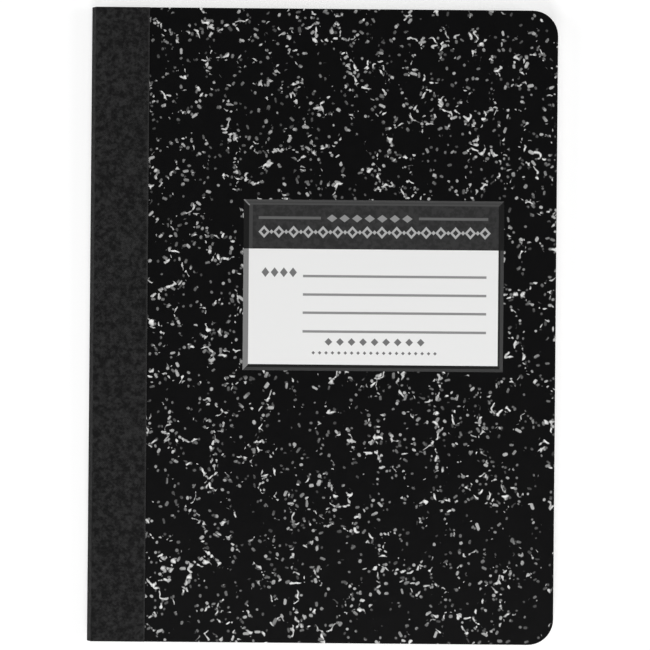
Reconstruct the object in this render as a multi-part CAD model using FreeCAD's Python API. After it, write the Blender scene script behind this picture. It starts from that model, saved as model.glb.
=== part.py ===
"""Sewn composition notebook with stiff covers and a cloth-taped spine, lying closed on its back cover.

Units are millimetres. X runs from the spine to the fore-edge, Y from the tail to the head, and Z up
from the back cover to the front cover. The origin is under the middle of the book, where it lies.

The leaves are one gathering of sheets folded once and sewn through the fold with a lockstitch. A
strip of cloth is glued over the fold and laps onto both boards, so the boards turn on the cloth.
"""

import FreeCAD, Part
import math
import os

# The whole book
BOOK_HEIGHT = 247.65
BOOK_WIDTH = 182.2
CORNER_RADIUS = 10.0

# The leaves, sewn as one gathering
LEAF_COUNT = 80
LEAF_THICKNESS = 0.08

# The cover boards
BOARD_THICKNESS = 1.2
BOARD_SETBACK = 1.6
SPINE_EDGE_ROUND = 0.4
CUT_EDGE_EASE = 0.15
CLOSED_GAP = 0.1

# The cloth strip over the spine
CLOTH_THICKNESS = 0.3
CLOTH_LAP = 22.8
GLUE_LINE = 0.05

# The label pasted on the front cover
LABEL_WIDTH = 101.6
LABEL_HEIGHT = 66.7
LABEL_THICKNESS = 0.25
LABEL_BEVEL_WIDTH = 2.0
LABEL_BEVEL_DROP = 0.18
LABEL_FROM_SPINE = 60.1
LABEL_FROM_HEAD = 74.6

# The lockstitch seam through the fold
STITCH_COUNT = 22
THREAD_DIAMETER = 0.4
THREAD_CLEARANCE = 0.02
SLIT_CLEARANCE = 0.05

# Levels, from the floor up
BACK_BOARD_BOTTOM = CLOTH_THICKNESS + GLUE_LINE
BACK_BOARD_TOP = BACK_BOARD_BOTTOM + BOARD_THICKNESS
BLOCK_BOTTOM = BACK_BOARD_TOP + CLOSED_GAP
BLOCK_THICKNESS = LEAF_COUNT * LEAF_THICKNESS
BLOCK_TOP = BLOCK_BOTTOM + BLOCK_THICKNESS
FRONT_BOARD_BOTTOM = BLOCK_TOP + CLOSED_GAP
FRONT_BOARD_TOP = FRONT_BOARD_BOTTOM + BOARD_THICKNESS
MID_LEVEL = (BLOCK_BOTTOM + BLOCK_TOP) / 2

# Places along X, from the spine to the fore-edge
SPINE_BACK = -BOOK_WIDTH / 2
FORE_EDGE = BOOK_WIDTH / 2
FOLD_BACK = SPINE_BACK + CLOTH_THICKNESS + GLUE_LINE
FOLD_RADIUS = BLOCK_THICKNESS / 2
FOLD_CENTRE = FOLD_BACK + FOLD_RADIUS
BOARD_SPINE_EDGE = FOLD_BACK + BOARD_SETBACK
CLOTH_EDGE = SPINE_BACK + CLOTH_LAP

# Places along Y
TAIL = -BOOK_HEIGHT / 2
HEAD = BOOK_HEIGHT / 2


def point(x, y, z):
    return FreeCAD.Vector(x, y, z)


def closed_face(edges):
    return Part.Face(Part.Wire(Part.__sortEdges__(edges)))


def rounded_plan(left, level):
    """Plan of a board or of the leaves: square at the spine, with two round fore-edge corners."""
    round_start = FORE_EDGE - CORNER_RADIUS
    slant = CORNER_RADIUS * math.sqrt(0.5)
    corners = []
    for side in (-1, 1):
        edge = side * HEAD
        centre_y = edge - side * CORNER_RADIUS
        corners.append(
            Part.Arc(
                point(round_start, edge, level),
                point(round_start + slant, centre_y + side * slant, level),
                point(FORE_EDGE, centre_y, level),
            ).toShape()
        )
    straight = HEAD - CORNER_RADIUS
    lines = [
        Part.makeLine(point(left, TAIL, level), point(round_start, TAIL, level)),
        Part.makeLine(point(FORE_EDGE, -straight, level), point(FORE_EDGE, straight, level)),
        Part.makeLine(point(round_start, HEAD, level), point(left, HEAD, level)),
        Part.makeLine(point(left, HEAD, level), point(left, TAIL, level)),
    ]
    return closed_face(lines + corners)


# Cover boards


def cover_board(bottom, outer_level):
    """A board trimmed flush with the leaves. Its outer rim is eased where it was cut, and its outer
    spine edge is rounded under the cloth."""
    plate = rounded_plan(BOARD_SPINE_EDGE, bottom).extrude(point(0, 0, BOARD_THICKNESS))
    outer_rim = [e for e in plate.Edges if all(abs(v.Z - outer_level) < 1e-6 for v in e.Vertexes)]
    at_spine = [e for e in outer_rim if all(abs(v.X - BOARD_SPINE_EDGE) < 1e-6 for v in e.Vertexes)]
    plate = plate.makeFillet(SPINE_EDGE_ROUND, at_spine)
    cut_rim = [
        e
        for e in plate.Edges
        if all(abs(v.Z - outer_level) < 1e-6 for v in e.Vertexes)
        and max(v.X for v in e.Vertexes) > BOARD_SPINE_EDGE + 2 * SPINE_EDGE_ROUND
    ]
    return plate.makeChamfer(CUT_EDGE_EASE, cut_rim)


# Leaves


def stitch_places():
    """Where the needle went through the fold. The seam runs off the head and the tail."""
    pitch = BOOK_HEIGHT / STITCH_COUNT
    return [TAIL + pitch * (i + 0.5) for i in range(STITCH_COUNT)]


LEG_OFFSET = THREAD_DIAMETER + THREAD_CLEARANCE
SEAM_OUTSIDE = FOLD_BACK + THREAD_DIAMETER / 2
SEAM_INSIDE = FOLD_CENTRE


def page_block():
    """The closed leaves as one solid: a half-round fold at the spine, flat trimmed edges elsewhere,
    and the room that the seam takes in the fold."""
    plan = rounded_plan(FOLD_CENTRE, BLOCK_BOTTOM)
    leaves = plan.extrude(point(0, 0, BLOCK_THICKNESS))
    fold_axis = point(FOLD_CENTRE, TAIL, MID_LEVEL)
    fold = Part.makeCylinder(FOLD_RADIUS, BOOK_HEIGHT, fold_axis, point(0, 1, 0), 180)
    fold.rotate(fold_axis, point(0, 1, 0), -90)
    block = leaves.fuse(fold).removeSplitter()

    thread_room = THREAD_DIAMETER / 2 + SLIT_CLEARANCE
    slit_reach = LEG_OFFSET + thread_room
    groove = Part.makeBox(
        2 * thread_room,
        BOOK_HEIGHT,
        2 * slit_reach,
        point(SEAM_OUTSIDE - thread_room, TAIL, MID_LEVEL - slit_reach),
    )
    channel = Part.makeBox(
        2 * thread_room,
        BOOK_HEIGHT,
        2 * thread_room,
        point(SEAM_INSIDE - thread_room, TAIL, MID_LEVEL - thread_room),
    )
    slits = [
        Part.makeBox(
            SEAM_INSIDE + slit_reach - SEAM_OUTSIDE,
            2 * thread_room,
            2 * slit_reach,
            point(SEAM_OUTSIDE, y - thread_room, MID_LEVEL - slit_reach),
        )
        for y in stitch_places()
    ]
    return block.cut([groove, channel] + slits).removeSplitter()


# Seam


def needle_thread():
    """The outer thread of the lockstitch. It slants along the fold from slit to slit, and in each
    slit it goes round the inner thread and comes back out."""
    half_pitch = BOOK_HEIGHT / STITCH_COUNT / 2
    run_start = point(SEAM_OUTSIDE, -half_pitch, 0)
    mouth_in = point(SEAM_OUTSIDE, 0, -LEG_OFFSET)
    turn_in = point(SEAM_INSIDE + LEG_OFFSET, 0, -LEG_OFFSET)
    turn_out = point(SEAM_INSIDE + LEG_OFFSET, 0, LEG_OFFSET)
    mouth_out = point(SEAM_OUTSIDE, 0, LEG_OFFSET)
    run_end = point(SEAM_OUTSIDE, half_pitch, 0)
    path = Part.makePolygon([run_start, mouth_in, turn_in, turn_out, mouth_out, run_end])
    section = Part.Wire(Part.Circle(run_start, mouth_in - run_start, THREAD_DIAMETER / 2).toShape())
    mitred = 1
    stitch = path.makePipeShell([section], True, False, mitred)
    stitches = []
    for y in stitch_places():
        copy = stitch.copy()
        copy.translate(point(0, y, MID_LEVEL))
        stitches.append(copy)
    seam = stitches[0].fuse(stitches[1:]).removeSplitter()
    trimmed = Part.makeBox(BOOK_WIDTH, BOOK_HEIGHT, FRONT_BOARD_TOP, point(SPINE_BACK, TAIL, 0))
    return seam.common(trimmed)


def bobbin_thread():
    """The inner thread of the lockstitch, straight along the middle of the gathering."""
    start = point(SEAM_INSIDE, TAIL, MID_LEVEL)
    return Part.makeCylinder(THREAD_DIAMETER / 2, BOOK_HEIGHT, start, point(0, 1, 0))


# Cloth over the spine


def spine_contact():
    """Where the cloth leaves a board's rounded edge and meets the fold: the centre of the board's
    edge, and the direction square to the cloth on the straight stretch between them, both for the
    front board."""
    edge_x = BOARD_SPINE_EDGE + SPINE_EDGE_ROUND
    edge_z = FRONT_BOARD_TOP - SPINE_EDGE_ROUND
    to_fold_x = FOLD_CENTRE - edge_x
    to_fold_z = MID_LEVEL - edge_z
    distance = math.hypot(to_fold_x, to_fold_z)
    heading = math.atan2(to_fold_z, to_fold_x) % (2 * math.pi)
    turn = math.acos((SPINE_EDGE_ROUND - FOLD_RADIUS) / distance)
    return edge_x, edge_z, heading - turn


def cloth_line(lift):
    """The section of one face of the cloth, a given distance off the boards and the fold, from its
    edge on the front cover round the spine to its edge on the back cover."""
    edge_x, edge_z, square_to_cloth = spine_contact()

    def on_round(x, z, radius, angle, flip):
        level = z + radius * math.sin(angle)
        if flip:
            level = 2 * MID_LEVEL - level
        return point(x + radius * math.cos(angle), TAIL, level)

    def half(flip):
        """The lap on one board, the turn over its edge, and the stretch down to the fold."""
        radius = SPINE_EDGE_ROUND + lift
        upright = math.pi / 2
        lap_start = on_round(CLOTH_EDGE, edge_z, radius, upright, flip)
        lap_start.x = CLOTH_EDGE
        turn_start = on_round(edge_x, edge_z, radius, upright, flip)
        turn_middle = on_round(edge_x, edge_z, radius, (upright + square_to_cloth) / 2, flip)
        turn_end = on_round(edge_x, edge_z, radius, square_to_cloth, flip)
        fold_start = on_round(FOLD_CENTRE, MID_LEVEL, FOLD_RADIUS + lift, square_to_cloth, flip)
        edges = [
            Part.makeLine(lap_start, turn_start),
            Part.Arc(turn_start, turn_middle, turn_end).toShape(),
            Part.makeLine(turn_end, fold_start),
        ]
        return edges, lap_start, fold_start

    front_edges, front_lap, front_fold = half(False)
    back_edges, back_lap, back_fold = half(True)
    fold_middle = point(FOLD_CENTRE - FOLD_RADIUS - lift, TAIL, MID_LEVEL)
    round_fold = Part.Arc(front_fold, fold_middle, back_fold).toShape()
    return front_edges + [round_fold] + back_edges, front_lap, back_lap


def spine_tape():
    """One strip of cloth, glued to the fold and to both boards, and trimmed with them."""
    inner, inner_front, inner_back = cloth_line(GLUE_LINE)
    outer, outer_front, outer_back = cloth_line(GLUE_LINE + CLOTH_THICKNESS)
    ends = [Part.makeLine(inner_front, outer_front), Part.makeLine(inner_back, outer_back)]
    return closed_face(inner + outer + ends).extrude(point(0, BOOK_HEIGHT, 0))


# Label


def name_label():
    """A pasted label whose rim slopes down to the cover all round."""
    left = SPINE_BACK + LABEL_FROM_SPINE
    bottom = HEAD - LABEL_FROM_HEAD - LABEL_HEIGHT
    rim_height = LABEL_THICKNESS - LABEL_BEVEL_DROP
    rim_bottom = FRONT_BOARD_TOP

    def outline(inset, level):
        corners = [
            point(left + inset, bottom + inset, level),
            point(left + LABEL_WIDTH - inset, bottom + inset, level),
            point(left + LABEL_WIDTH - inset, bottom + LABEL_HEIGHT - inset, level),
            point(left + inset, bottom + LABEL_HEIGHT - inset, level),
        ]
        return Part.makePolygon(corners + corners[:1])

    rim = Part.Face(outline(0, rim_bottom)).extrude(point(0, 0, rim_height))
    slope_bottom = outline(0, rim_bottom + rim_height)
    slope_top = outline(LABEL_BEVEL_WIDTH, rim_bottom + LABEL_THICKNESS)
    slope = Part.makeLoft([slope_bottom, slope_top], True, True)
    return rim.fuse(slope).removeSplitter()


PIECES = {
    "front_cover": cover_board(FRONT_BOARD_BOTTOM, FRONT_BOARD_TOP),
    "back_cover": cover_board(BACK_BOARD_BOTTOM, BACK_BOARD_BOTTOM),
    "page_block": page_block(),
    "needle_thread": needle_thread(),
    "bobbin_thread": bobbin_thread(),
    "spine_tape": spine_tape(),
    "name_label": name_label(),
}

os.makedirs("parts", exist_ok=True)
for name, shape in PIECES.items():
    shape.exportStep(f"parts/{name}.step")
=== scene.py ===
import math
import random

import bmesh
import bpy
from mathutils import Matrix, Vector


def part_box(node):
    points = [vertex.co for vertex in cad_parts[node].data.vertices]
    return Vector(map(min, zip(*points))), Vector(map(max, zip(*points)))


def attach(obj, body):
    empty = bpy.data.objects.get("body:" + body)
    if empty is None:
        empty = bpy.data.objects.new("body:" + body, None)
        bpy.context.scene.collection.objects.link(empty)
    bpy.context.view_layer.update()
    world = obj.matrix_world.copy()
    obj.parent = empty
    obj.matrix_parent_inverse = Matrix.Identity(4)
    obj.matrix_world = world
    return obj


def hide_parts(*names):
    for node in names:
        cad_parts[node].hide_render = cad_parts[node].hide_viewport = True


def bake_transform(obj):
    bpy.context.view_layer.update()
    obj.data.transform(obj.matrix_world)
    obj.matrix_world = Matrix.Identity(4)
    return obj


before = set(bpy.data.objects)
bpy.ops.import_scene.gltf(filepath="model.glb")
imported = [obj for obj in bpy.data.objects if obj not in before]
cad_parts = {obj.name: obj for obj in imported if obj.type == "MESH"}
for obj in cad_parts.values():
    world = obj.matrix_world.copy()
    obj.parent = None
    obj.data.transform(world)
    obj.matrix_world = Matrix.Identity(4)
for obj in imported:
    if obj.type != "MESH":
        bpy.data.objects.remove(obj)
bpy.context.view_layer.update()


# Leaves
# Eighty leaves of ruled writing paper: forty sheets folded once together, one inside the next.
# They are sewn through the fold, where the thread pinches them, and trimmed with the covers.

SHEETS = 40
AIR_SHARE = 0.06
PINCH = 0.14
PINCH_INNER_TURN = math.radians(10)
PINCH_OUTER_TURN = math.radians(24)
FOLD_STEPS = 18
CORNER_RADIUS = 0.010
CORNER_STEPS = 8
LOOSE_TRIM = 0.00012
TRIM_DRIFT = 0.55
TRIM_DRIFT_SHARE = 0.6
TRIM_SEED = 40
FOLD_SMOOTHING = 30

block_low, block_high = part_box("page_block")
front_low, front_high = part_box("front_cover")
back_low, back_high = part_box("back_cover")
tape_low, tape_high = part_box("spine_tape")
glued_cloth = tape_high.z - front_high.z
fold_back = tape_low.x + glued_cloth
fold_radius = (block_high.z - block_low.z) / 2
fold_centre = fold_back + fold_radius
mid_level = (block_high.z + block_low.z) / 2
fore_edge = block_high.x
head = block_high.y
tail = block_low.y


def leaf_outline(trim_fore, trim_head, trim_tail):
    """Plan of one leaf, from its fold edge at the tail round to its fold edge at the head."""
    fore = fore_edge - trim_fore
    ends = ((tail + trim_tail, -1), (head - trim_head, 1))
    points = [(fold_centre, ends[0][0])]
    for end, side in ends:
        turns = range(CORNER_STEPS + 1) if side < 0 else reversed(range(CORNER_STEPS + 1))
        for step in turns:
            angle = math.pi / 2 * step / CORNER_STEPS
            x = fore - CORNER_RADIUS + CORNER_RADIUS * math.sin(angle)
            y = end - side * CORNER_RADIUS + side * CORNER_RADIUS * math.cos(angle)
            points.append((x, y))
    points.append((fold_centre, ends[1][0]))
    return points


def pinch_at(turn):
    """How much the seam draws the fold in, at a turn away from straight back."""
    share = (PINCH_OUTER_TURN - abs(turn)) / (PINCH_OUTER_TURN - PINCH_INNER_TURN)
    share = min(1.0, max(0.0, share))
    return PINCH * share * share * (3 - 2 * share)


def add_folded_sheet(mesh, number, rng):
    """One folded sheet: an upper leaf, the fold, and a lower leaf, with its thickness of paper."""
    thickness = fold_radius / SHEETS
    outer = fold_radius - number * thickness
    inner = outer - thickness * (1 - AIR_SHARE)
    drift = TRIM_DRIFT_SHARE * (0.5 + 0.5 * math.sin(number * TRIM_DRIFT))
    rings = []
    for side in (1, -1):
        trims = [LOOSE_TRIM * (drift + (1 - TRIM_DRIFT_SHARE) * rng.random()) for _ in range(3)]
        outline = leaf_outline(*trims)
        rings.append(
            [
                [mesh.verts.new((x, y, mid_level + side * level)) for x, y in outline]
                for level in (outer, inner)
            ]
        )
    for (far, near), side in zip(rings, (1, -1)):
        mesh.faces.new(far if side > 0 else far[::-1])
        mesh.faces.new(near[::-1] if side > 0 else near)
        for a in range(len(far) - 1):
            mesh.faces.new((far[a], far[a + 1], near[a + 1], near[a]))

    def fold_edge(level, y_index):
        """The fold's line on one face of the paper, from the upper leaf down to the lower leaf."""
        layer = 0 if level == outer else 1
        start = rings[0][layer][y_index]
        end = rings[1][layer][y_index]
        line = [start]
        for step in range(1, FOLD_STEPS):
            turn = math.pi / 2 - math.pi * step / FOLD_STEPS
            reach = level * (1 - pinch_at(turn))
            y = start.co.y + (end.co.y - start.co.y) * step / FOLD_STEPS
            x = fold_centre - reach * math.cos(turn)
            line.append(mesh.verts.new((x, y, mid_level + reach * math.sin(turn))))
        return line + [end]

    lines = [fold_edge(level, index) for level in (outer, inner) for index in (0, -1)]
    outer_tail, outer_head, inner_tail, inner_head = lines
    for first, second in (
        (outer_tail, outer_head),
        (inner_tail, inner_head),
        (outer_tail, inner_tail),
        (outer_head, inner_head),
    ):
        for a in range(FOLD_STEPS):
            mesh.faces.new((first[a], first[a + 1], second[a + 1], second[a]))


def finish_mesh(mesh, name, smooth_angle=None):
    """An object from a bmesh, in the shared frame, with every face looking outward."""
    bmesh.ops.recalc_face_normals(mesh, faces=mesh.faces)
    data = bpy.data.meshes.new(name)
    mesh.to_mesh(data)
    mesh.free()
    piece = bpy.data.objects.new(name, data)
    bpy.context.scene.collection.objects.link(piece)
    if smooth_angle is not None:
        data.shade_smooth()
        data.set_sharp_from_angle(angle=math.radians(smooth_angle))
    return piece


def feed(tree, socket, value):
    """Links a socket to another, or sets its own value."""
    if isinstance(value, bpy.types.NodeSocket):
        tree.links.new(value, socket)
    else:
        socket.default_value = value


def figure(tree, operation, *values):
    """One calculation in a material. Each value is a socket or a number."""
    node = tree.nodes.new("ShaderNodeMath")
    node.operation = operation
    for socket, value in zip(node.inputs, values):
        feed(tree, socket, value)
    return node.outputs[0]


def vector_figure(tree, operation, *values, scale=None):
    """The same with places or colours. Each value is a socket or three numbers."""
    node = tree.nodes.new("ShaderNodeVectorMath")
    node.operation = operation
    for socket, value in zip(node.inputs, values):
        feed(tree, socket, value)
    if scale is not None:
        feed(tree, node.inputs["Scale"], scale)
    return node.outputs[0]


def step_between(tree, value, low, high, at_low=0.0, at_high=1.0):
    """Turns smoothly from one value to another as the first argument goes from low to high."""
    node = tree.nodes.new("ShaderNodeMapRange")
    node.interpolation_type = "SMOOTHSTEP"
    for socket, number in zip(node.inputs, (value, low, high, at_low, at_high)):
        feed(tree, socket, number)
    return node.outputs[0]


def cloudy(tree, place, size, detail=2.0, roughness=0.5, output="Fac"):
    """Noise whose lumps are about size metres apart."""
    node = tree.nodes.new("ShaderNodeTexNoise")
    feed(tree, node.inputs["Vector"], place)
    node.inputs["Scale"].default_value = 1 / size
    node.inputs["Detail"].default_value = detail
    node.inputs["Roughness"].default_value = roughness
    return node.outputs[output]


def tint(tree, under, over, share):
    """Lays one colour over another by a mask."""
    node = tree.nodes.new("ShaderNodeMix")
    node.data_type = "RGBA"
    feed(tree, node.inputs["Factor"], share)
    feed(tree, node.inputs["A"], under)
    feed(tree, node.inputs["B"], over)
    return node.outputs["Result"]


def stretched(tree, place, scale):
    """The place with its axes scaled, so that a pattern on it is drawn out or flattened."""
    return vector_figure(tree, "MULTIPLY", place, scale)


def split(tree, place):
    """The three coordinates of a place, or the three channels of a colour."""
    node = tree.nodes.new("ShaderNodeSeparateXYZ")
    feed(tree, node.inputs[0], place)
    return node.outputs


def new_group(name, inputs, outputs):
    """A shader node group with named inputs and outputs."""
    tree = bpy.data.node_groups.new(name, "ShaderNodeTree")
    for label, kind in inputs:
        tree.interface.new_socket(label, in_out="INPUT", socket_type=kind)
    for label, kind in outputs:
        tree.interface.new_socket(label, in_out="OUTPUT", socket_type=kind)
    given = tree.nodes.new("NodeGroupInput").outputs
    made = tree.nodes.new("NodeGroupOutput").inputs
    return tree, given, made


def use_group(tree, group, **values):
    """Puts a node group in a material and feeds its inputs by name."""
    node = tree.nodes.new("ShaderNodeGroup")
    node.node_tree = group
    for label, value in values.items():
        feed(tree, node.inputs[label], value)
    return node.outputs


def new_material(name, roughness, specular):
    """A material with its own Principled shader, and the place on the piece."""
    material = bpy.data.materials.new(name)
    material.use_nodes = True
    tree = material.node_tree
    shader = tree.nodes["Principled BSDF"]
    shader.inputs["Roughness"].default_value = roughness
    shader.inputs["Specular IOR Level"].default_value = specular
    place = tree.nodes.new("ShaderNodeTexCoord").outputs["Object"]
    return material, tree, shader, place


def raise_surface(tree, shader, height, distance):
    """Gives the shader a bump from a height between 0 and 1."""
    node = tree.nodes.new("ShaderNodeBump")
    node.inputs["Distance"].default_value = distance
    feed(tree, node.inputs["Height"], height)
    feed(tree, shader.inputs["Normal"], node.outputs[0])


FLOAT = "NodeSocketFloat"
VECTOR = "NodeSocketVector"

printed_bar, given, made = new_group(
    "printed bar",
    [(label, FLOAT) for label in ("Across", "Down", "Left", "Right", "Top", "Bottom")],
    [("Ink", FLOAT)],
)
INK_SPREAD = 0.00006
margins = [
    figure(printed_bar, "SUBTRACT", given["Across"], given["Left"]),
    figure(printed_bar, "SUBTRACT", given["Right"], given["Across"]),
    figure(printed_bar, "SUBTRACT", given["Down"], given["Top"]),
    figure(printed_bar, "SUBTRACT", given["Bottom"], given["Down"]),
]
inside = margins[0]
for margin in margins[1:]:
    inside = figure(printed_bar, "MINIMUM", inside, margin)
feed(printed_bar, made["Ink"], step_between(printed_bar, inside, -INK_SPREAD, INK_SPREAD))

paper_fibre, given, made = new_group(
    "paper fibre",
    [("Place", VECTOR), ("Strength", FLOAT)],
    [("Shade", FLOAT), ("Height", FLOAT)],
)
FIBRE_CLOUD = 0.004
FIBRE_GRAIN = 0.00035
GRAIN_SHARE = 0.6
cloud = cloudy(paper_fibre, given["Place"], FIBRE_CLOUD, detail=3.0)
grain = cloudy(paper_fibre, given["Place"], FIBRE_GRAIN, detail=2.0, roughness=0.6)
clouded = figure(paper_fibre, "MULTIPLY", cloud, 1 - GRAIN_SHARE)
both = figure(paper_fibre, "MULTIPLY_ADD", grain, GRAIN_SHARE, clouded)
uneven = figure(paper_fibre, "SUBTRACT", both, 0.5)
feed(paper_fibre, made["Shade"], figure(paper_fibre, "MULTIPLY_ADD", uneven, given["Strength"], 1.0))
feed(paper_fibre, made["Height"], grain)

PAPER_WHITE = (0.80, 0.79, 0.75, 1)
PAPER_EDGE = (0.76, 0.74, 0.685, 1)
RULING_BLUE = (0.24, 0.40, 0.63, 1)
MARGIN_RED = (0.70, 0.20, 0.25, 1)
RULING_PITCH = 0.0071
FIRST_RULE_DOWN = 0.0254
LAST_RULE_UP = 0.010
RULE_WIDTH = 0.00030
MARGIN_LINE_IN = 0.03175
FACE_INK = 0.85
EDGE_INK = 0.18
FACE_FROM = 0.4
FACE_FULL = 0.8
STREAK_LENGTH = 0.006
STREAK_FINENESS = 30.0
STREAK_DARK = 0.82
STREAK_LIGHT = 1.08

ruled_paper, tree, shader, place = new_material("ruled_paper", roughness=0.85, specular=0.25)
x, y, z = split(tree, place)
down = figure(tree, "SUBTRACT", head, y)
from_rule = figure(tree, "PINGPONG", figure(tree, "SUBTRACT", down, FIRST_RULE_DOWN), RULING_PITCH / 2)
ink_ends = (RULE_WIDTH / 2 - INK_SPREAD, RULE_WIDTH / 2 + INK_SPREAD)
rule = step_between(tree, from_rule, *ink_ends, at_low=1.0, at_high=0.0)
ruled_area = use_group(
    tree,
    printed_bar,
    Across=x,
    Down=down,
    Left=fold_back - LOOSE_TRIM,
    Right=fore_edge + LOOSE_TRIM,
    Top=FIRST_RULE_DOWN - RULING_PITCH / 4,
    Bottom=head - tail - LAST_RULE_UP,
)["Ink"]
rule = figure(tree, "MULTIPLY", rule, ruled_area)
upper_leaf = figure(tree, "GREATER_THAN", z, mid_level)
margin_x = figure(
    tree,
    "MULTIPLY_ADD",
    upper_leaf,
    fold_back + 2 * MARGIN_LINE_IN - fore_edge,
    fore_edge - MARGIN_LINE_IN,
)
from_margin = figure(tree, "ABSOLUTE", figure(tree, "SUBTRACT", x, margin_x))
margin_line = step_between(tree, from_margin, *ink_ends, at_low=1.0, at_high=0.0)
facing = figure(tree, "ABSOLUTE", split(tree, tree.nodes["Texture Coordinate"].outputs["Normal"])[2])
is_face = step_between(tree, facing, FACE_FROM, FACE_FULL)
behind = figure(tree, "MINIMUM", figure(tree, "SUBTRACT", x, fold_centre), 0.0)
above = figure(tree, "SUBTRACT", z, mid_level)
layer = figure(tree, "MULTIPLY_ADD", behind, behind, figure(tree, "MULTIPLY", above, above))
layer = figure(tree, "MULTIPLY", figure(tree, "SQRT", layer), figure(tree, "SIGN", above))
joined = tree.nodes.new("ShaderNodeCombineXYZ")
for socket, value in zip(joined.inputs, (x, y, layer)):
    feed(tree, socket, value)
streak_place = stretched(tree, joined.outputs[0], (1.0, 1.0, STREAK_FINENESS))
streaked = cloudy(tree, streak_place, STREAK_LENGTH, detail=4.0, roughness=0.7)
streaks = step_between(tree, streaked, low=0.3, high=0.7, at_low=STREAK_DARK, at_high=STREAK_LIGHT)
edge_colour = vector_figure(tree, "SCALE", PAPER_EDGE[:3], scale=streaks)
fibre = use_group(tree, paper_fibre, Place=place, Strength=0.10)
face_colour = vector_figure(tree, "SCALE", PAPER_WHITE[:3], scale=fibre["Shade"])
face_colour = tint(tree, face_colour, RULING_BLUE, figure(tree, "MULTIPLY", rule, FACE_INK))
face_colour = tint(tree, face_colour, MARGIN_RED, figure(tree, "MULTIPLY", margin_line, FACE_INK))
ticked_edge = tint(tree, edge_colour, RULING_BLUE, figure(tree, "MULTIPLY", rule, EDGE_INK))
feed(tree, shader.inputs["Base Color"], tint(tree, ticked_edge, face_colour, is_face))
raise_surface(tree, shader, fibre["Height"], distance=0.00002)

rng = random.Random(TRIM_SEED)
leaves_mesh = bmesh.new()
for number in range(SHEETS):
    add_folded_sheet(leaves_mesh, number, rng)
leaves = finish_mesh(leaves_mesh, "ruled_leaves", FOLD_SMOOTHING)
leaves.data.materials.append(ruled_paper)
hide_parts("page_block")
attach(leaves, "leaves")


# Seam
# Two white cotton threads, twisted hard and waxed, locked together in each stitch.
# The machine sews them through the fold before the cloth goes on.

THREAD_WHITE = (0.74, 0.72, 0.66, 1)
THREAD_SHADOW = (0.40, 0.38, 0.33, 1)
TWIST_PITCH = 0.0009
TWIST_UNEVENNESS = 0.6

cotton_thread, tree, shader, place = new_material("cotton_thread", roughness=0.6, specular=0.3)
twist = tree.nodes.new("ShaderNodeTexWave")
twist.bands_direction = "DIAGONAL"
# A diagonal wave turns by ten times its scale, in radians, for each metre along the thread.
twist.inputs["Scale"].default_value = 2 * math.pi / (10 * TWIST_PITCH)
twist.inputs["Distortion"].default_value = TWIST_UNEVENNESS
feed(tree, twist.inputs["Vector"], place)
strands = twist.outputs["Fac"]
feed(tree, shader.inputs["Base Color"], tint(tree, THREAD_SHADOW, THREAD_WHITE, strands))
raise_surface(tree, shader, strands, distance=0.00006)


def dress(node_name, material):
    """Gives a CAD node, whose shape is right, its finish."""
    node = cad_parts[node_name]
    node.data.materials.clear()
    node.data.materials.append(material)
    return node


dress("needle_thread", cotton_thread)
dress("bobbin_thread", cotton_thread)


# Cover boards
# Grey chipboard with a coated paper printed in the traditional speckled marble on its outside,
# and a plain pale lining inside. Both are cut flush with the leaves, so the grey shows at the rim.

CELL_SIZE = 0.0115
CELL_WANDER = 0.010
CELL_WAVE = 0.014
CROWD_NEAR = 0.04
CROWD_FAR = 0.34
PATCH_SIZE = 0.018
PATCH_THINNEST = 0.4
CURL_SIZE = 0.0030
INK_SOFTNESS = 0.00020
VEIN_FULL_WIDTH = 0.24
VEIN_FULL_TONE = 0.44
VEIN_DIM = 0.12
VEIN_BRIGHT = 0.98
SPECK_LENGTH_BIAS = 2.5
DICE_SPREAD = 1931.0
# Each layer of the marble, and each cover, reads its noise in another place, so that no two match.
BREAKS_SHIFT = (3.3, 1.7, 0.4)
LARGE_SHIFT = (0.31, 0.17, 0.0)
SMALL_SHIFT = (0.57, 0.43, 0.0)
FRONT_SHIFT = (0.0, 0.0, 0.0)
BACK_SHIFT = (0.71, 0.37, 0.0)


def shaken(tree, place, wave, reach, detail=0.0):
    """The place moved about by noise, so that straight shapes bend."""
    noise = cloudy(tree, place, wave, detail, output="Color")
    centred = vector_figure(tree, "SUBTRACT", noise, (0.5, 0.5, 0.5))
    return vector_figure(tree, "ADD", place, vector_figure(tree, "SCALE", centred, scale=reach))


def cells_of(tree, place, size, feature):
    """A flat pattern of cells about size metres apart."""
    node = tree.nodes.new("ShaderNodeTexVoronoi")
    node.voronoi_dimensions = "2D"
    node.feature = feature
    feed(tree, node.inputs["Vector"], place)
    node.inputs["Scale"].default_value = 1 / size
    return node.outputs


def broken_veins(tree, place, crowd, cell, reach, half_width, wave, fill, spare):
    """Curled strokes: the borders of warped cells, broken up where the noise is low."""
    curled = shaken(tree, place, CURL_SIZE, CURL_SIZE)
    warped = shaken(tree, curled, wave=cell * 1.1, reach=reach, detail=1.0)
    border = cells_of(tree, warped, cell, "DISTANCE_TO_EDGE")
    away = figure(tree, "MULTIPLY", border["Distance"], cell)
    breaks = cloudy(tree, vector_figure(tree, "ADD", curled, BREAKS_SHIFT), wave, detail=0.5)
    level = figure(tree, "ADD", breaks, figure(tree, "MULTIPLY_ADD", crowd, fill, spare - 0.5))
    swell = step_between(tree, level, 0.0, VEIN_FULL_WIDTH, at_low=-half_width, at_high=half_width)
    body = step_between(tree, figure(tree, "SUBTRACT", away, swell), INK_SOFTNESS, -INK_SOFTNESS)
    tone = step_between(tree, level, 0.02, VEIN_FULL_TONE, at_low=VEIN_DIM, at_high=VEIN_BRIGHT)
    return figure(tree, "MULTIPLY", body, tone)


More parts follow.
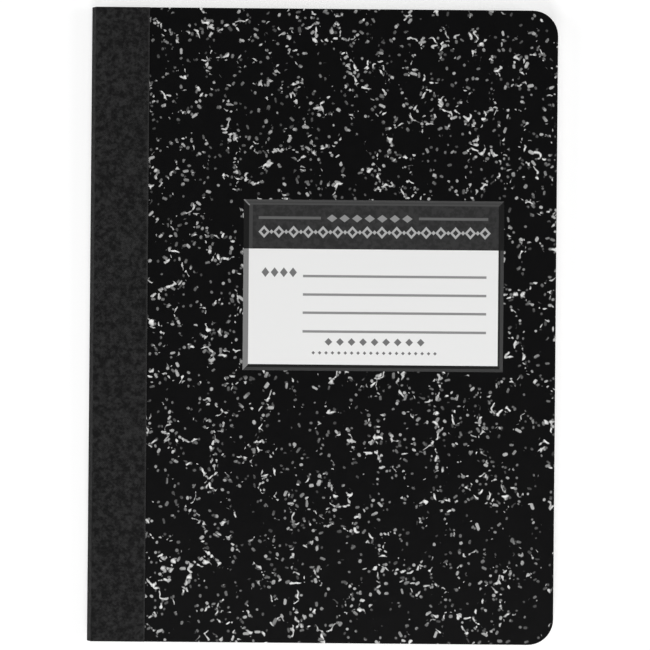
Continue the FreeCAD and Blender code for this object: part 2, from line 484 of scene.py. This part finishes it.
def loose_specks(tree, place, crowd, cell, radii, longest, fill, spare, tones):
    """Round and oblong specks, one in some of the cells, turned at random."""
    bent = shaken(tree, place, wave=cell * 1.2, reach=cell * 0.3)
    cells = cells_of(tree, bent, cell, "F1")
    turn, length, size = split(tree, cells["Color"])
    away = vector_figure(tree, "SUBTRACT", bent, cells["Position"])
    turned = tree.nodes.new("ShaderNodeVectorRotate")
    turned.rotation_type = "Z_AXIS"
    feed(tree, turned.inputs["Vector"], away)
    feed(tree, turned.inputs["Angle"], figure(tree, "MULTIPLY", turn, math.pi))
    along, across = split(tree, turned.outputs[0])[:2]
    half_length = figure(tree, "MULTIPLY", figure(tree, "POWER", length, SPECK_LENGTH_BIAS), longest)
    past_end = figure(tree, "SUBTRACT", figure(tree, "ABSOLUTE", along), half_length)
    past_end = figure(tree, "MAXIMUM", past_end, 0.0)
    squares = figure(tree, "MULTIPLY_ADD", across, across, figure(tree, "MULTIPLY", past_end, past_end))
    reach = figure(tree, "SQRT", squares)
    radius = figure(tree, "MULTIPLY_ADD", size, radii[1] - radii[0], radii[0])
    body = step_between(tree, figure(tree, "SUBTRACT", reach, radius), INK_SOFTNESS, -INK_SOFTNESS)
    dice = tree.nodes.new("ShaderNodeTexWhiteNoise")
    dice.noise_dimensions = "2D"
    feed(tree, dice.inputs["Vector"], vector_figure(tree, "SCALE", cells["Position"], scale=DICE_SPREAD))
    chance = figure(tree, "MULTIPLY_ADD", crowd, fill, spare)
    luck = figure(tree, "DIVIDE", dice.outputs["Value"], chance)
    tone = step_between(tree, luck, 0.0, 1.0, at_low=tones[1], at_high=tones[0])
    shown = figure(tree, "MULTIPLY", figure(tree, "LESS_THAN", luck, 1.0), tone)
    return figure(tree, "MULTIPLY", body, shown)


marble, given, made = new_group("speckled marble", [("Place", VECTOR)], [("Speck", FLOAT)])
at = given["Place"]
wandering = shaken(marble, at, CELL_WAVE, CELL_WANDER, detail=2.0)
border = cells_of(marble, wandering, CELL_SIZE, "DISTANCE_TO_EDGE")
chain = step_between(marble, border["Distance"], CROWD_NEAR, CROWD_FAR, at_low=1.0, at_high=0.0)
cloud = cloudy(marble, at, PATCH_SIZE, detail=2.0, roughness=0.55)
patch = step_between(marble, cloud, 0.35, 0.62, at_low=PATCH_THINNEST, at_high=1.0)
crowd = figure(marble, "MULTIPLY", chain, patch)
veins = broken_veins(
    marble,
    at,
    crowd,
    cell=0.0056,
    reach=0.0050,
    half_width=0.00050,
    wave=0.0016,
    fill=0.45,
    spare=-0.27,
)
large = loose_specks(
    marble,
    vector_figure(marble, "ADD", at, LARGE_SHIFT),
    crowd,
    cell=0.0042,
    radii=(0.00042, 0.00060),
    longest=0.0009,
    fill=0.82,
    spare=0.05,
    tones=(0.07, 0.50),
)
small = loose_specks(
    marble,
    vector_figure(marble, "ADD", at, SMALL_SHIFT),
    crowd,
    cell=0.0035,
    radii=(0.00034, 0.00050),
    longest=0.0006,
    fill=0.74,
    spare=0.15,
    tones=(0.06, 0.23),
)
specks = figure(marble, "MAXIMUM", veins, figure(marble, "MAXIMUM", large, small))
feed(marble, made["Speck"], specks)

INK_BLACK = (0.0022, 0.0022, 0.0024, 1)
SPECK_WHITE = (0.90, 0.90, 0.89, 1)
CHIPBOARD = (0.30, 0.28, 0.25)
LINING = (0.62, 0.61, 0.58)
SKIN_OF_PRINT = 0.00016
PRINT_ROUGHNESS = 0.33
BARE_ROUGHNESS = 0.83
LINING_FIBRE = 0.2


def cover_finish(name, outside, inside, shift):
    """The board's finish: print on its outside, lining inside, and bare chipboard at its rim."""
    material, tree, shader, place = new_material(name, PRINT_ROUGHNESS, specular=0.25)
    z = split(tree, place)[2]
    depth = figure(tree, "ABSOLUTE", figure(tree, "SUBTRACT", z, outside))
    depth_inside = figure(tree, "ABSOLUTE", figure(tree, "SUBTRACT", z, inside))
    printed = figure(tree, "LESS_THAN", depth, SKIN_OF_PRINT)
    lined = figure(tree, "LESS_THAN", depth_inside, SKIN_OF_PRINT / 2)
    flat_place = stretched(tree, vector_figure(tree, "ADD", place, shift), (1.0, 1.0, 0.0))
    speck = use_group(tree, marble, Place=flat_place)["Speck"]
    fibre = use_group(tree, paper_fibre, Place=place, Strength=0.5)
    board = vector_figure(tree, "SCALE", CHIPBOARD, scale=fibre["Shade"])
    lining_shade = figure(tree, "MULTIPLY_ADD", fibre["Shade"], LINING_FIBRE, 1 - LINING_FIBRE)
    lining = vector_figure(tree, "SCALE", LINING, scale=lining_shade)
    colour = tint(tree, board, lining, lined)
    colour = tint(tree, colour, tint(tree, INK_BLACK, SPECK_WHITE, speck), printed)
    feed(tree, shader.inputs["Base Color"], colour)
    bare = figure(tree, "SUBTRACT", 1.0, printed)
    matt = figure(tree, "MULTIPLY_ADD", bare, BARE_ROUGHNESS - PRINT_ROUGHNESS, PRINT_ROUGHNESS)
    feed(tree, shader.inputs["Roughness"], figure(tree, "MULTIPLY", matt, fibre["Shade"]))
    raise_surface(tree, shader, fibre["Height"], distance=0.00003)
    return material


dress("front_cover", cover_finish("front_marble", front_high.z, front_low.z, FRONT_SHIFT))
dress("back_cover", cover_finish("back_marble", back_low.z, back_high.z, BACK_SHIFT))


# Spine cloth
# One strip of black crepe-grained book cloth, pasted round the fold and onto both boards.
# It is the hinge of both covers. It is made here in two halves that meet at the back of the fold.

GLUE_LINE = 0.00005
BOARD_EDGE_ROUND = 0.0004
CLOTH_TURN_STEPS = 8
CLOTH_FOLD_STEPS = 14
CLOTH_LENGTH_STEPS = 40
CLOTH_FLAT_RUN = 0.0016
CLOTH_BEND_RUN = 0.0003
CLOTH_BLACK = (0.0008, 0.0008, 0.0009, 1)
CLOTH_WORN = (0.0235, 0.0235, 0.0237, 1)
CLOTH_EDGE_HIGHLIGHT = (0.060, 0.060, 0.060, 1)
CREPE_GRAIN = 0.0021
MOTTLE_DARK = 0.36
MOTTLE_LIGHT = 0.69
FINE_GRAIN = 0.00045
WEAVE_PITCH = 0.00042
WEAVE_SHADE = 0.5
SHADE_BETWEEN_THREADS = 0.62
EDGE_HIGHLIGHT_STRENGTH = 0.22
CLOTH_RELIEF = 0.00016
FINE_RELIEF = 0.3
MOTTLE_RELIEF = 0.4
THREAD_RELIEF = 0.3
CLOTH_SMOOTHING = 35

edge_x = front_low.x + BOARD_EDGE_ROUND
edge_z = front_high.z - BOARD_EDGE_ROUND


def cloth_profile(lift):
    """Half the cloth's section, from its edge on the front cover round to the back of the fold."""
    to_fold = Vector((fold_centre - edge_x, mid_level - edge_z))
    heading = math.atan2(to_fold.y, to_fold.x) % (2 * math.pi)
    square = heading - math.acos((BOARD_EDGE_ROUND - fold_radius) / to_fold.length)
    radius = BOARD_EDGE_ROUND + lift
    points = [(tape_high.x, edge_z + radius)]
    for step in range(CLOTH_TURN_STEPS + 1):
        angle = math.pi / 2 + (square - math.pi / 2) * step / CLOTH_TURN_STEPS
        points.append((edge_x + radius * math.cos(angle), edge_z + radius * math.sin(angle)))
    radius = fold_radius + lift
    for step in range(CLOTH_FOLD_STEPS + 1):
        angle = square + (math.pi - square) * step / CLOTH_FOLD_STEPS
        points.append((fold_centre + radius * math.cos(angle), mid_level + radius * math.sin(angle)))
    return points


def divided(outer, inner):
    """Both faces of the section in short runs, the shortest where the cloth bends at the hinge."""
    lines = ([], [])
    pairs = list(zip(outer, inner))
    for number, (start, end) in enumerate(zip(pairs, pairs[1:])):
        longest = CLOTH_BEND_RUN if number else CLOTH_FLAT_RUN
        runs = max(1, math.ceil(math.dist(start[0], end[0]) / longest))
        for run in range(runs):
            for line, a, b in zip(lines, start, end):
                line.append([p + (q - p) * run / runs for p, q in zip(a, b)])
    for line, last in zip(lines, pairs[-1]):
        line.append(list(last))
    return lines


def cloth_half(name, side):
    """The half of the cloth on the front cover, or on the back cover where side is -1."""
    outer, inner = divided(cloth_profile(glued_cloth), cloth_profile(GLUE_LINE))
    mesh = bmesh.new()
    rows = []
    for step in range(CLOTH_LENGTH_STEPS + 1):
        y = tail + (head - tail) * step / CLOTH_LENGTH_STEPS
        loop = outer + inner[::-1]
        rows.append([mesh.verts.new((x, y, mid_level + side * (z - mid_level))) for x, z in loop])
    count = len(rows[0])
    for first, second in zip(rows, rows[1:]):
        for a in range(count):
            b = (a + 1) % count
            mesh.faces.new((first[a], first[b], second[b], second[a]))
    half = count // 2
    for row in (rows[0], rows[-1]):
        for a in range(half - 1):
            mesh.faces.new((row[a], row[a + 1], row[count - 2 - a], row[count - 1 - a]))
    return finish_mesh(mesh, name, CLOTH_SMOOTHING)


crepe_cloth, tree, shader, place = new_material("crepe_cloth", roughness=0.8, specular=0.2)
x, y, z = split(tree, place)
mottle = cloudy(tree, place, CREPE_GRAIN, detail=4.0, roughness=0.72)
fine = cloudy(tree, place, FINE_GRAIN, detail=1.0)
round_spine = figure(tree, "ADD", x, figure(tree, "ABSOLUTE", figure(tree, "SUBTRACT", z, mid_level)))
warp = figure(tree, "SINE", figure(tree, "MULTIPLY", round_spine, math.pi / WEAVE_PITCH))
weft = figure(tree, "SINE", figure(tree, "MULTIPLY", y, math.pi / WEAVE_PITCH))
threads = figure(tree, "MULTIPLY_ADD", figure(tree, "MULTIPLY", warp, weft), 0.5, 0.5)
shade = step_between(tree, mottle, MOTTLE_DARK, MOTTLE_LIGHT)
woven = figure(tree, "MULTIPLY_ADD", threads, WEAVE_SHADE, SHADE_BETWEEN_THREADS)
shade = figure(tree, "MULTIPLY", shade, woven)
colour = tint(tree, CLOTH_BLACK, CLOTH_WORN, shade)
# A painted highlight: a lighter line along the cloth's cut edge, where the edge would catch the light.
to_cut_edge = figure(tree, "SUBTRACT", tape_high.x, x)
painted_edge_highlight = step_between(tree, to_cut_edge, 0.0002, 0.0009, at_low=EDGE_HIGHLIGHT_STRENGTH, at_high=0.0)
feed(tree, shader.inputs["Base Color"], tint(tree, colour, CLOTH_EDGE_HIGHLIGHT, painted_edge_highlight))
height = figure(tree, "MULTIPLY", mottle, MOTTLE_RELIEF)
height = figure(tree, "MULTIPLY_ADD", fine, FINE_RELIEF, height)
height = figure(tree, "MULTIPLY_ADD", threads, THREAD_RELIEF, height)
raise_surface(tree, shader, height, CLOTH_RELIEF)
shader.inputs["Sheen Weight"].default_value = 0.02
shader.inputs["Sheen Roughness"].default_value = 0.5

for name, side, board in (("cloth_front_half", 1, "front_board"), ("cloth_back_half", -1, "back_board")):
    cloth = cloth_half(name, side)
    cloth.data.materials.append(crepe_cloth)
    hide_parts("spine_tape")
    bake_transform(cloth)


# Label
# A coated paper label pasted on the front cover, with a dark header band, a pale writing panel
# and a rim that slopes down to the cover. The print is plain rules and small ornaments.

label_low, label_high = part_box("name_label")
label_width = label_high.x - label_low.x
label_height = label_high.y - label_low.y
RIM = 0.0021
HEADER_HEIGHT = 0.01925
FOOT_RIM = 0.0024
TOP_RIM_LINES = ((0.0002, 0.0008), (0.0014, 0.0020))
LEFT_LINE_WIDTH = 0.0014
RIGHT_LINE_WIDTH = 0.0008
FOOT_LINE_WIDTH = 0.0012
FOOT_LINE_PAST = 0.0007
CORNER_GLINT_SIZE = 0.0024
HEADER_RULES = ((0.0058, 0.0301), (0.0683, 0.0954))
HEADER_RULE_TOP = 0.00660
HEADER_RULE_FOOT = 0.00765
CHAIN_START = 0.0051
CHAIN_PITCH = 0.00575
CHAIN_DOWN = 0.01260
CHAIN_LINKS = 16
WRITING_LINES = (0.0298, 0.0370, 0.0441, 0.0514)
WRITING_LEFT = 0.0233
WRITING_RIGHT = 0.0949
WRITING_HALF = 0.00048
LOZENGE_SOFTNESS = 0.07
PANEL_WHITE = (0.82, 0.82, 0.816, 1)
HEADER_GREY = (0.0345, 0.0345, 0.0348, 1)
HEADER_DARK = (0.0205, 0.0205, 0.0207, 1)
TOP_RIM_GREY = (0.051, 0.051, 0.051, 1)
TOP_RIM_LINE = (0.066, 0.066, 0.066, 1)
RIM_BLACK = (0.006, 0.006, 0.006, 1)
RIM_DARK = (0.018, 0.018, 0.018, 1)
RIM_GREY = (0.050, 0.050, 0.050, 1)
FOOT_RIM_GREY = (0.038, 0.038, 0.038, 1)
RIM_PAINTED_HIGHLIGHT = (0.215, 0.215, 0.215, 1)
RULE_GREY = (0.12, 0.12, 0.12, 1)
ORNAMENT_DIM = (0.27, 0.27, 0.27, 1)
ORNAMENT_PALE = (0.42, 0.42, 0.42, 1)
WRITING_GREY = (0.26, 0.26, 0.26, 1)
ORNAMENT_GREY = (0.17, 0.17, 0.17, 1)

lozenge_row, given, made = new_group(
    "lozenge row",
    [
        (label, FLOAT)
        for label in ("Across", "Down", "Start", "Pitch", "Middle", "Half_Width", "Half_Height")
    ],
    [("Ink", FLOAT)],
)
past_start = figure(lozenge_row, "SUBTRACT", given["Across"], given["Start"])
along = figure(lozenge_row, "WRAP", past_start, given["Pitch"], 0.0)
along = figure(lozenge_row, "SUBTRACT", along, figure(lozenge_row, "MULTIPLY", given["Pitch"], 0.5))
along = figure(lozenge_row, "DIVIDE", figure(lozenge_row, "ABSOLUTE", along), given["Half_Width"])
off = figure(lozenge_row, "ABSOLUTE", figure(lozenge_row, "SUBTRACT", given["Down"], given["Middle"]))
off = figure(lozenge_row, "DIVIDE", off, given["Half_Height"])
reach = figure(lozenge_row, "ADD", along, off)
ink_ends = (1 - LOZENGE_SOFTNESS, 1 + LOZENGE_SOFTNESS)
feed(lozenge_row, made["Ink"], step_between(lozenge_row, reach, *ink_ends, at_low=1.0, at_high=0.0))

printed_label, tree, shader, place = new_material("printed_label", roughness=0.5, specular=0.2)
x, y = split(tree, place)[:2]
across = figure(tree, "SUBTRACT", x, label_low.x)
down = figure(tree, "SUBTRACT", label_high.y, y)


def bar(left, right, top, bottom):
    """A printed rectangle, in metres from the label's upper left corner."""
    sides = {"Left": left, "Right": right, "Top": top, "Bottom": bottom}
    return use_group(tree, printed_bar, Across=across, Down=down, **sides)["Ink"]


def lozenges(start, pitch, count, middle, half_width, half_height):
    """A row of printed lozenges, cut off after the last one."""
    row = use_group(
        tree,
        lozenge_row,
        Across=across,
        Down=down,
        Start=start,
        Pitch=pitch,
        Middle=middle,
        Half_Width=half_width,
        Half_Height=half_height,
    )
    reach = half_height * 1.2
    kept = bar(start, start + count * pitch, middle - reach, middle + reach)
    return figure(tree, "MULTIPLY", row["Ink"], kept)


def nearer(first, second):
    """The mitre of two slopes of the rim: 1 where the first edge is the nearer one."""
    return step_between(tree, figure(tree, "SUBTRACT", second, first), -INK_SPREAD, INK_SPREAD)


def overlap(*masks):
    """The part that all of the masks share."""
    kept = masks[0]
    for mask in masks[1:]:
        kept = figure(tree, "MULTIPLY", kept, mask)
    return kept


panel_right = label_width - RIM
panel_foot = label_height - FOOT_RIM
from_right = figure(tree, "SUBTRACT", label_width, across)
from_foot = figure(tree, "SUBTRACT", label_height, down)
top_slope = overlap(nearer(down, across), nearer(down, from_right))
left_slope = nearer(across, from_foot)
right_slope = nearer(from_right, from_foot)
off_corner = figure(tree, "ABSOLUTE", figure(tree, "SUBTRACT", across, down))
corner_glint_mask = step_between(tree, off_corner, 0.00018, 0.0005, at_low=1.0, at_high=0.0)
fibre = use_group(tree, paper_fibre, Place=place, Strength=0.35)
clouds = step_between(tree, cloudy(tree, place, 0.0018, detail=2.0, roughness=0.6), 0.35, 0.65)
colour = tint(tree, HEADER_DARK, HEADER_GREY, clouds)
beyond_right = panel_right + 2 * RIM
beyond_foot = label_height + RIM
right_line_end = panel_right + RIGHT_LINE_WIDTH
foot_line_end = panel_foot + FOOT_LINE_WIDTH
# The rim is painted as a bevel lit from the left: a painted highlight on the left slope and a painted
# glint at the top left mitre, while the other slopes stay dark grey.
layers = [
    (TOP_RIM_GREY, overlap(bar(0.0, label_width, -RIM, RIM), top_slope)),
    *[(TOP_RIM_LINE, overlap(bar(0.0, label_width, *ends), top_slope)) for ends in TOP_RIM_LINES],
    (TOP_RIM_GREY, bar(RIM, RIM + LEFT_LINE_WIDTH, RIM, HEADER_HEIGHT)),
    (RIM_BLACK, overlap(bar(-RIM, RIM, 0.0, HEADER_HEIGHT), nearer(across, down))),
    (RIM_BLACK, overlap(bar(panel_right, beyond_right, 0.0, HEADER_HEIGHT), nearer(from_right, down))),
    (RIM_PAINTED_HIGHLIGHT, overlap(bar(0.0, CORNER_GLINT_SIZE, 0.0, CORNER_GLINT_SIZE), corner_glint_mask)),
    (FOOT_RIM_GREY, bar(-RIM, label_width + RIM, panel_foot, beyond_foot)),
    (RIM_BLACK, bar(RIM / 2, panel_right + FOOT_LINE_PAST, panel_foot, foot_line_end)),
    (RIM_PAINTED_HIGHLIGHT, overlap(bar(-RIM, RIM, HEADER_HEIGHT, beyond_foot), left_slope)),
    (RIM_GREY, overlap(bar(panel_right, beyond_right, HEADER_HEIGHT, beyond_foot), right_slope)),
    (RIM_DARK, overlap(bar(panel_right, right_line_end, HEADER_HEIGHT, label_height), right_slope)),
    (PANEL_WHITE, bar(RIM, panel_right, HEADER_HEIGHT, panel_foot)),
]
for left, right in HEADER_RULES:
    layers.append((RULE_GREY, bar(left, right, HEADER_RULE_TOP, HEADER_RULE_FOOT)))
# A row's numbers are its start, pitch and count, then its middle, half width and half height.
joint_start = CHAIN_START + CHAIN_PITCH / 2
layers += [
    (ORNAMENT_DIM, lozenges(0.0320, 0.0049, 7, 0.0072, 0.0020, 0.0015)),
    (ORNAMENT_PALE, lozenges(CHAIN_START, CHAIN_PITCH, CHAIN_LINKS, CHAIN_DOWN, 0.0022, 0.0024)),
    (HEADER_GREY, lozenges(CHAIN_START, CHAIN_PITCH, CHAIN_LINKS, CHAIN_DOWN, 0.0011, 0.0012)),
    (ORNAMENT_PALE, lozenges(joint_start, CHAIN_PITCH, CHAIN_LINKS - 1, CHAIN_DOWN, 0.0008, 0.0009)),
]
for line in WRITING_LINES:
    stroke = bar(WRITING_LEFT, WRITING_RIGHT, line - WRITING_HALF, line + WRITING_HALF)
    layers.append((WRITING_GREY, stroke))
layers += [
    (ORNAMENT_GREY, lozenges(0.0068, 0.0036, 4, 0.0284, 0.0015, 0.0019)),
    (ORNAMENT_GREY, lozenges(0.0312, 0.0045, 9, 0.0554, 0.0015, 0.0015)),
    (ORNAMENT_GREY, lozenges(0.0263, 0.0025, 20, 0.0597, 0.0007, 0.0007)),
]
for ink, mask in layers:
    colour = tint(tree, colour, ink, mask)
feed(tree, shader.inputs["Base Color"], colour)
raise_surface(tree, shader, fibre["Height"], distance=0.00001)
dress("name_label", printed_label)


# Studio
# A pale floor under soft lamps, and the camera straight above the notebook as in the photograph.

FLOOR_HALF = 8.0
FLOOR_PALE = (0.50, 0.50, 0.50, 1)
FLOOR_GLOW = 0.58
WORLD_LEVEL = 0.16
WORLD_OVERHEAD = 0.02
OVERHEAD_FROM = 0.45
OVERHEAD_FULL = 0.95
LAMP_SIZE = 0.7
LAMP_DISTANCE = 1.5
LAMPS = ((0, 38, 8.6), (90, 34, 3.2), (180, 38, 8.6), (270, 46, 12.8))
PIXEL = 0.0003903
PHOTO_PIXELS = 650
BOOK_RIGHT_SHIFT = -2.7
BOOK_DOWN_SHIFT = 1.0
BOOK_TILT = math.radians(0.5)
LENS = 200

floor_mesh = bmesh.new()
corners = [(-1, -1), (1, -1), (1, 1), (-1, 1)]
floor_mesh.faces.new([floor_mesh.verts.new((a * FLOOR_HALF, b * FLOOR_HALF, 0)) for a, b in corners])
floor = finish_mesh(floor_mesh, "floor")
floor_finish, tree, shader = new_material("floor_finish", roughness=0.9, specular=0.1)[:3]
shader.inputs["Base Color"].default_value = FLOOR_PALE
seen = tree.nodes.new("ShaderNodeLightPath").outputs
glossy_or_clear = figure(tree, "MAXIMUM", seen["Is Glossy Ray"], seen["Is Transmission Ray"])
direct = figure(tree, "MAXIMUM", seen["Is Camera Ray"], glossy_or_clear)
glow = tree.nodes.new("ShaderNodeEmission")
feed(tree, glow.inputs["Strength"], figure(tree, "MULTIPLY", direct, FLOOR_GLOW))
together = tree.nodes.new("ShaderNodeAddShader")
tree.links.new(shader.outputs[0], together.inputs[0])
tree.links.new(glow.outputs[0], together.inputs[1])
tree.links.new(together.outputs[0], tree.nodes["Material Output"].inputs["Surface"])
floor.data.materials.append(floor_finish)

world = bpy.data.worlds.new("studio")
world.use_nodes = True
tree = world.node_tree
sky = tree.nodes["Background"]
sky.inputs["Color"].default_value = (1, 1, 1, 1)
upward = split(tree, tree.nodes.new("ShaderNodeTexCoord").outputs["Generated"])[2]
level = step_between(tree, upward, OVERHEAD_FROM, OVERHEAD_FULL, WORLD_LEVEL, WORLD_OVERHEAD)
feed(tree, sky.inputs["Strength"], level)
bpy.context.scene.world = world

for turn_degrees, rise_degrees, power in LAMPS:
    turn = math.radians(turn_degrees)
    rise = math.radians(rise_degrees)
    lamp = bpy.data.lights.new(f"lamp_{turn_degrees}", "AREA")
    lamp.size = LAMP_SIZE
    lamp.energy = power
    lamp_object = bpy.data.objects.new(lamp.name, lamp)
    flat = LAMP_DISTANCE * math.cos(rise)
    lamp_object.location = (flat * math.cos(turn), flat * math.sin(turn), LAMP_DISTANCE * math.sin(rise))
    lamp_object.rotation_euler = (-lamp_object.location).to_track_quat("-Z", "Y").to_euler()
    bpy.context.scene.collection.objects.link(lamp_object)

camera = bpy.data.cameras.new("camera")
camera.lens = LENS
camera_object = bpy.data.objects.new("camera", camera)
distance = PIXEL * PHOTO_PIXELS * LENS / camera.sensor_width
camera_object.location = (
    -BOOK_RIGHT_SHIFT * PIXEL,
    BOOK_DOWN_SHIFT * PIXEL,
    front_high.z + distance,
)
camera_object.rotation_euler = (0, 0, BOOK_TILT)
camera.clip_start = 0.05
camera.clip_end = 30
bpy.context.scene.collection.objects.link(camera_object)
bpy.context.scene.camera = camera_object
bpy.context.scene.view_settings.view_transform = "Standard"
